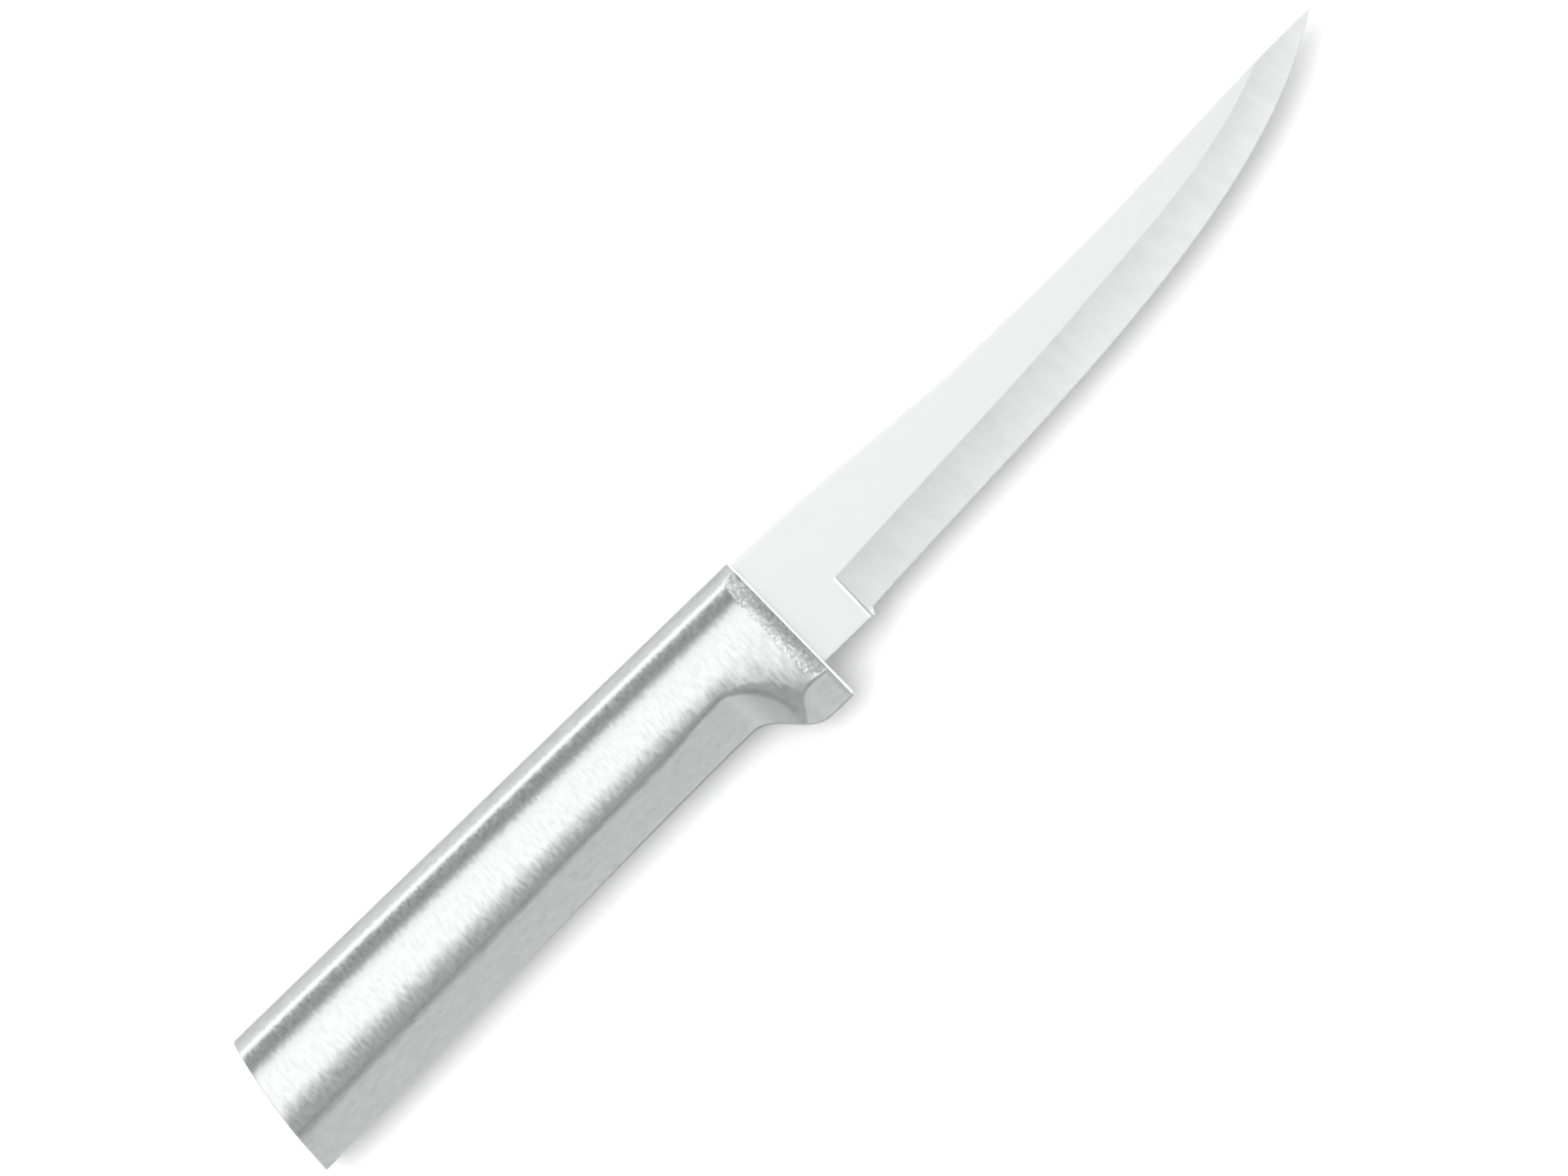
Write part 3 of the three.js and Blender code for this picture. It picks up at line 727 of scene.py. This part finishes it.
def ground_steel(name, base, *, turn, length, contrast, cloud, depth, roughness, uneven, tangent_turn):
    """Stainless steel ground with a belt or wheel: metal, with parallel scratches that blur what it
    reflects across them, and faint clouds where the pressure changed. Contrast and cloud are how far the
    two darken it, depth is the scratches' height, and uneven is how far they change the roughness."""
    material, tree = new_material(name)
    lines = streaks(tree, SCRATCH_WIDTH, length, turn, detail=3)
    clouds = streaks(tree, CLOUD_WIDTH, CLOUD_LENGTH, turn, detail=2)
    line_tone, cloud_tone, rough = [
        node(
            tree, "ShaderNodeMapRange", {"Value": noise, **NOISE_MIDDLE, "To Min": low, "To Max": high}
        ).outputs[0]
        for noise, low, high in (
            (lines, 1 - contrast, 1),
            (clouds, 1 - cloud, 1),
            (lines, roughness - uneven, roughness + uneven),
        )
    ]
    tone = node(tree, "ShaderNodeMath", {0: line_tone, 1: cloud_tone}, operation="MULTIPLY").outputs[0]
    toned = node(tree, "ShaderNodeMix", {0: 1.0, 6: base, 7: tone}, **COLOUR_TIMES).outputs[2]
    height = node(tree, "ShaderNodeBump", {"Strength": 1.0, "Distance": depth, "Height": lines})
    tangent = node(tree, "ShaderNodeTangent", direction_type="UV_MAP", uv_map="grain")
    shader = node(
        tree,
        "ShaderNodeBsdfPrincipled",
        {
            "Base Color": toned,
            "Metallic": 1.0,
            "Roughness": rough,
            "Anisotropic": 0.6,
            "Anisotropic Rotation": tangent_turn,
            "Normal": height.outputs[0],
            "Tangent": tangent.outputs[0],
        },
    )
    node(tree, "ShaderNodeOutputMaterial", {"Surface": shader.outputs[0]})
    return material


def leaning_normal(tree, lines):
    """The surface's normal, leaning in y from one brush stroke to the next, but not where the finish is
    steady."""
    tilts = {"Value": lines, "To Min": -STROKE_TILT, "To Max": STROKE_TILT}
    tilt = node(tree, "ShaderNodeMapRange", tilts).outputs[0]
    steady = node(tree, "ShaderNodeAttribute", attribute_name="steady").outputs["Fac"]
    stroke = node(tree, "ShaderNodeMix", {0: steady, 2: tilt, 3: 0.0}).outputs[0]
    lean = node(tree, "ShaderNodeCombineXYZ", {"Y": stroke}).outputs[0]
    normal = node(tree, "ShaderNodeNewGeometry").outputs["Normal"]
    leaning = node(tree, "ShaderNodeVectorMath", {0: normal, 1: lean}, operation="ADD").outputs[0]
    return node(tree, "ShaderNodeVectorMath", {0: leaning}, operation="NORMALIZE").outputs[0]


def cast_aluminium(name, brushed, skin):
    """Cast aluminium, brushed across its length, and lengthwise on the crown and the flanks, with a band
    of unbrushed skin: the brush lines blur what the metal reflects across them, and the skin is matt and
    grainy. Painted shade darkens its colour on the flank in the finger hollow and along the parting line."""
    material, tree = new_material(name)
    across = streaks(tree, STROKE_WIDTH, STROKE_LENGTH, STROKE_TURN, detail=2)
    along = streaks(tree, RUN_WIDTH, RUN_LENGTH, 0, detail=2)
    place = node(tree, "ShaderNodeTexCoord").outputs["Object"]
    grains = {"Vector": place, "Scale": 1 / GRAIN_SIZE, "Detail": 2}
    grain = node(tree, "ShaderNodeTexNoise", grains).outputs[0]
    lengthwise, in_skin, painted_shade = [
        node(tree, "ShaderNodeAttribute", attribute_name=share).outputs["Fac"]
        for share in ("lengthwise", "cast_skin", "painted_shade")
    ]
    lines = node(tree, "ShaderNodeMix", {0: lengthwise, 2: across, 3: along}).outputs[0]
    across_tone, along_tone, grain_tone, line_rough = [
        node(tree, "ShaderNodeMapRange", {"Value": noise, **NOISE_MIDDLE, **spread}).outputs[0]
        for noise, spread in (
            (across, STROKE_TONES),
            (along, RUN_TONES),
            (grain, GRAIN_TONES),
            (lines, STROKE_ROUGHNESS),
        )
    ]
    rough = node(tree, "ShaderNodeMix", {0: in_skin, 2: line_rough, 3: SKIN_ROUGHNESS}).outputs[0]
    tone = node(tree, "ShaderNodeMix", {0: lengthwise, 2: across_tone, 3: along_tone}).outputs[0]
    lined = node(tree, "ShaderNodeMix", {0: 1.0, 6: brushed, 7: tone}, **COLOUR_TIMES).outputs[2]
    grained = node(tree, "ShaderNodeMix", {0: 1.0, 6: skin, 7: grain_tone}, **COLOUR_TIMES).outputs[2]
    base = node(tree, "ShaderNodeMix", {0: in_skin, 6: lined, 7: grained}, data_type="RGBA").outputs[2]
    # Painted shade: the colour is darkened by up to half where the painted shade's share is high.
    left = node(tree, "ShaderNodeMapRange", {"Value": painted_shade, "To Min": 1.0, "To Max": PAINTED_SHADE_TONE}).outputs[0]
    with_painted_shade = node(tree, "ShaderNodeMix", {0: 1.0, 6: base, 7: left}, **COLOUR_TIMES).outputs[2]
    grain_height = node(tree, "ShaderNodeMath", {0: grain, 1: in_skin}, operation="MULTIPLY").outputs[0]
    normal = leaning_normal(tree, lines)
    for height, distance in ((lines, STROKE_HEIGHT), (grain_height, GRAIN_HEIGHT)):
        bump = {"Strength": 1.0, "Distance": distance, "Height": height, "Normal": normal}
        normal = node(tree, "ShaderNodeBump", bump).outputs[0]
    tangent = node(tree, "ShaderNodeTangent", direction_type="UV_MAP", uv_map="grain")
    shader = node(
        tree,
        "ShaderNodeBsdfPrincipled",
        {
            "Base Color": with_painted_shade,
            "Metallic": 1.0,
            "Roughness": rough,
            "Specular Tint": GRAZING_TINT,
            "Anisotropic": 0.8,
            "Normal": normal,
            "Tangent": tangent.outputs[0],
        },
    )
    node(tree, "ShaderNodeOutputMaterial", {"Surface": shader.outputs[0]})
    return material


def moulded_aluminium(name, base):
    """Cast aluminium where the mould's polished face closed: metal that mirrors softly, with a roughness
    that is a little uneven."""
    material, tree = new_material(name)
    place = node(tree, "ShaderNodeTexCoord").outputs["Object"]
    grains = {"Vector": place, "Scale": 1 / GRAIN_SIZE, "Detail": 2}
    grain = node(tree, "ShaderNodeTexNoise", grains).outputs[0]
    uneven = {"Value": grain, **NOISE_MIDDLE, **MOULD_ROUGHNESS}
    rough = node(tree, "ShaderNodeMapRange", uneven).outputs[0]
    shader = node(
        tree, "ShaderNodeBsdfPrincipled", {"Base Color": base, "Metallic": 1.0, "Roughness": rough}
    )
    node(tree, "ShaderNodeOutputMaterial", {"Surface": shader.outputs[0]})
    return material


class KNIFE_OT_blade(bpy.types.Operator):
    """Make the hollow-ground blade"""

    bl_idname = "knife.blade"
    bl_label = "Blade"

    def execute(self, context):
        s = context.scene.knife_blade
        points, creases, grind_column, lip = blade_points(s)
        mesh = ring_mesh("blade_ground", points, creases)
        for name, base, finish in (
            ("Stainless steel, satin-ground lengthwise", s.flat_colour, SATIN),
            ("Stainless steel, wheel-ground across", s.grind_colour, WHEEL_GROUND),
            ("Stainless steel, burnished by the wheel's edge", s.grind_colour, BURNISHED),
        ):
            mesh.materials.append(ground_steel(name, base, **finish))
        columns = points.shape[1]
        column = np.arange(columns)
        hollow = (column >= grind_column) & (column < columns - 1 - grind_column)
        along = points[:-1, :, 0] - lip
        slots = np.where(along < LIP_WIDTH, LIP_SLOT, GRIND_SLOT)
        index = np.full(len(mesh.polygons), FLAT_SLOT, dtype=np.int32)
        index[: slots.size] = np.where(hollow & (along >= 0), slots, FLAT_SLOT).ravel()
        mesh.polygons.foreach_set("material_index", index)
        mesh.update()
        add_piece("blade_ground", mesh, "blade")
        return {"FINISHED"}


class KNIFE_OT_handle(bpy.types.Operator):
    """Make the cast and brushed handle"""

    bl_idname = "knife.handle"
    bl_label = "Handle"

    def execute(self, context):
        s = context.scene.knife_handle
        points, shares, creases = handle_points(s)
        mesh = ring_mesh("handle_cast", points, crease_rows=creases)
        for name, share in shares.items():
            values = np.concatenate([share.ravel(), [0, 0]]).astype(np.float32)
            mesh.attributes.new(name, "FLOAT", "POINT").data.foreach_set("value", values)
        mesh.materials.append(
            cast_aluminium("Aluminium, cast and brushed across", s.brushed_colour, s.skin_colour)
        )
        mesh.materials.append(moulded_aluminium("Aluminium, smooth from the mould", s.skin_colour))
        strip = np.arange(len(mesh.polygons)) // points.shape[1]
        in_land = (strip >= creases[1]) & (strip != len(points) - 1)
        mesh.polygons.foreach_set("material_index", in_land.astype(np.int32))
        mesh.update()
        add_piece("handle_cast", mesh, "handle")
        return {"FINISHED"}


class KNIFE_OT_stage(bpy.types.Operator):
    """Make the floor, the lights and the camera"""

    bl_idname = "knife.stage"
    bl_label = "Stage"

    def execute(self, context):
        s = context.scene.knife_stage
        scene = context.scene
        scene.view_settings.view_transform = "Standard"
        make_floor(s)
        make_room(scene, s)
        make_softbox(s)
        make_lamp("low_card", CARD_SIDES, CARD_PLACE, CARD_TILT, s.card_level)
        fill = make_lamp("fill_card", FILL_SIDES, FILL_PLACE, FILL_TILT, s.fill_level)
        fill.visible_diffuse = False  # it shows in the metal, and doesn't light the floor
        key = make_lamp("key", KEY_SIDES, KEY_PLACE, 0, s.key_level)
        key.visible_glossy = False  # it lights the floor, and doesn't show in the metal
        make_camera(scene, s)
        return {"FINISHED"}


def make_floor(s):
    """A large square at the knife's lowest point. It is matt and pale, and adds a little white where the
    camera or a reflection sees it."""
    half = FLOOR_SIDE / 2
    corners = [(-half, -half, 0), (half, -half, 0), (half, half, 0), (-half, half, 0)]
    mesh = bpy.data.meshes.new("floor")
    mesh.from_pydata(corners, [], [(0, 1, 2, 3)])
    material, tree = new_material("Paper, matt white")
    path = node(tree, "ShaderNodeLightPath").outputs
    seen = node(
        tree, "ShaderNodeMath", {0: path["Is Camera Ray"], 1: path["Is Glossy Ray"]}, operation="ADD"
    )
    seen = node(
        tree, "ShaderNodeMath", {0: seen.outputs[0], 1: path["Is Transmission Ray"]}, operation="ADD"
    )
    lift = node(tree, "ShaderNodeMath", {0: seen.outputs[0], 1: s.floor_lift}, operation="MULTIPLY")
    matt = node(tree, "ShaderNodeBsdfDiffuse", {"Color": s.floor_colour})
    glow = node(tree, "ShaderNodeEmission", {"Strength": lift.outputs[0]})
    both = node(tree, "ShaderNodeAddShader", {0: matt.outputs[0], 1: glow.outputs[0]})
    node(tree, "ShaderNodeOutputMaterial", {"Surface": both.outputs[0]})
    mesh.materials.append(material)
    floor = bpy.data.objects.new("floor", mesh)
    bpy.context.scene.collection.objects.link(floor)


def make_room(scene, s):
    """An even grey room all round."""
    scene.world = bpy.data.worlds.new("room")
    scene.world.use_nodes = True
    tree = scene.world.node_tree
    tree.nodes.clear()
    grey = node(tree, "ShaderNodeBackground", {"Color": s.room_colour, "Strength": 1.0})
    node(tree, "ShaderNodeOutputWorld", {"Surface": grey.outputs[0]})


def make_softbox(s):
    """A level softbox over the spine's side, whose edges fade in strips. Strips are given by the angles
    at which the knife sees their edges."""
    places = SOFTBOX_HEIGHT * np.tan(np.radians(SOFTBOX_EDGES))
    back, dims, front = SOFTBOX_ENDS
    for i, level in enumerate(SOFTBOX_LEVELS):
        for low, high, share in ((back, dims, 1), (dims, front, SOFTBOX_DIM)):
            sides = (high - low, places[i] - places[i + 1])
            place = ((low + high) / 2, (places[i] + places[i + 1]) / 2, SOFTBOX_HEIGHT)
            make_lamp(f"softbox_{i}", sides, place, 0, level * share * s.softbox_level)


def make_lamp(name, sides, place, tilt, level):
    """A rectangular lamp of sides along x and y, tilted about x, whose face has the radiance level."""
    lamp = bpy.data.lights.new(name, "AREA")
    lamp.shape = "RECTANGLE"
    lamp.size, lamp.size_y = sides
    lamp.energy = level * math.pi * sides[0] * sides[1]
    made = bpy.data.objects.new(name, lamp)
    made.location = place
    made.rotation_euler = (tilt, 0, 0)
    made.visible_camera = False
    bpy.context.scene.collection.objects.link(made)
    return made


def make_camera(scene, s):
    """A camera straight above the picture's middle, turned so that the knife climbs to the right."""
    camera = bpy.data.cameras.new("camera")
    camera.sensor_width = SENSOR_WIDTH
    camera.lens = SENSOR_WIDTH * s.view_distance / s.view_width
    made = bpy.data.objects.new("camera", camera)
    made.location = ORIGIN + (*VIEW_MIDDLE, s.view_distance)
    made.rotation_euler = (0, 0, -s.view_turn)
    scene.collection.objects.link(made)
    scene.camera = made


class KNIFE_PT_panel(bpy.types.Panel):
    """Lists the knife's pieces and its stage"""

    bl_idname = "KNIFE_PT_panel"
    bl_label = "Paring knife"
    bl_space_type = "VIEW_3D"
    bl_region_type = "UI"
    bl_category = "Knife"

    def draw(self, context):
        for group, operator in (
            ("knife_blade", "knife.blade"),
            ("knife_handle", "knife.handle"),
            ("knife_stage", "knife.stage"),
        ):
            settings = getattr(context.scene, group)
            box = self.layout.box()
            for name in settings.__annotations__:
                box.prop(settings, name)
            box.operator(operator)


GROUPS = {"knife_blade": BladeSettings, "knife_handle": HandleSettings, "knife_stage": StageSettings}
CLASSES = (*GROUPS.values(), KNIFE_OT_blade, KNIFE_OT_handle, KNIFE_OT_stage, KNIFE_PT_panel)


def register():
    """Adds the add-on's classes, and its settings to every scene."""
    for made in CLASSES:
        bpy.utils.register_class(made)
    for name, group in GROUPS.items():
        setattr(bpy.types.Scene, name, bpy.props.PointerProperty(type=group))


def unregister():
    """Takes the settings and the classes away again."""
    for name in GROUPS:
        delattr(bpy.types.Scene, name)
    for made in reversed(CLASSES):
        bpy.utils.unregister_class(made)


def main():
    register()
    bpy.ops.knife.blade()
    bpy.ops.knife.handle()
    bpy.ops.knife.stage()


if __name__ == "__main__":
    main()
